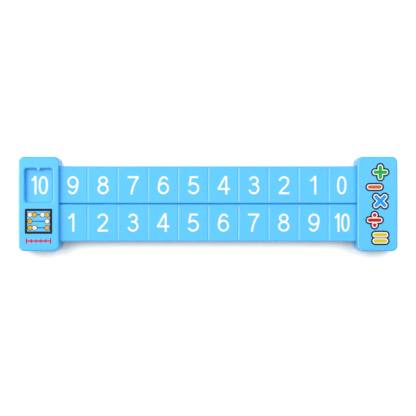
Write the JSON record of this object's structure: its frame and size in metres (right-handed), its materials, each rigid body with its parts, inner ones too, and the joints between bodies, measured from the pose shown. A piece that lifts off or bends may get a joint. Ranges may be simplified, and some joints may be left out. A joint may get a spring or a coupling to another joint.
{
  "type": "addition slide rule",
  "caption": "Flat moulded-plastic number rule: a fixed bar and a sliding bar between two end caps, with a reading window in the left cap that shows the sum of each column.",
  "frame": {"origin": "middle of the rule's back, on the surface that it lies on", "axes": "+X along the rule to the right as it is read, +Y up its face, +Z towards the reader"},
  "size_m": [0.2, 0.05, 0.014],
  "materials": {
    "bar_plastic": "sky-blue ABS, satin",
    "slide_plastic": "sky-blue ABS, satin",
    "shell_plastic": "sky-blue ABS, fine spark texture",
    "cover_plastic": "sky-blue ABS, satin",
    "screw_steel": "zinc-plated steel"
  },
  "bodies": {
    "stock": {"fixed_number_bar": "bar_plastic", "left_front_shell": "shell_plastic", "left_back_cover": "cover_plastic", "left_cover_screws": "screw_steel", "right_front_shell": "shell_plastic", "right_back_cover": "cover_plastic", "right_cover_screws": "screw_steel"},
    "slide": {"number_slide": "slide_plastic"}
  },
  "joints": [
    {"name": "number_slide_travel", "type": "slide", "parent": "stock", "child": "slide", "axis": [-1, 0, 0], "range_m": [0, 0.16]}
  ]
}
